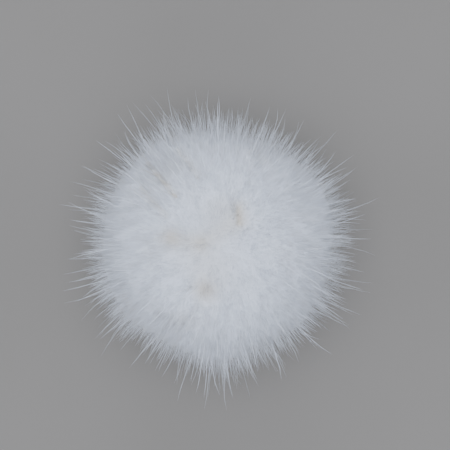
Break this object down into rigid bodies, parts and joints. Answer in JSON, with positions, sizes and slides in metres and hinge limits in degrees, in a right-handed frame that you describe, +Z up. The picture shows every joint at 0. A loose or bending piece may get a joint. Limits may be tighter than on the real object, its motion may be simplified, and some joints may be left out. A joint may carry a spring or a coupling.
{
  "type": "pom pom",
  "caption": "Round ball of dense white fur with longer guard hairs all round, pressed flat where it rests.",
  "frame": {"origin": "on the surface that the ball rests on, under the middle of its outline from above", "axes": "+Z up out of the surface, +Y towards the side that the crown of the fur leans to"},
  "size_m": [0.0614, 0.063, 0.0511],
  "materials": {
    "white_fur": "soft matt fur with a faint sheen on the guard hairs"
  },
  "bodies": {
    "root": {"fur_ball": "white_fur"}
  },
  "joints": []
}
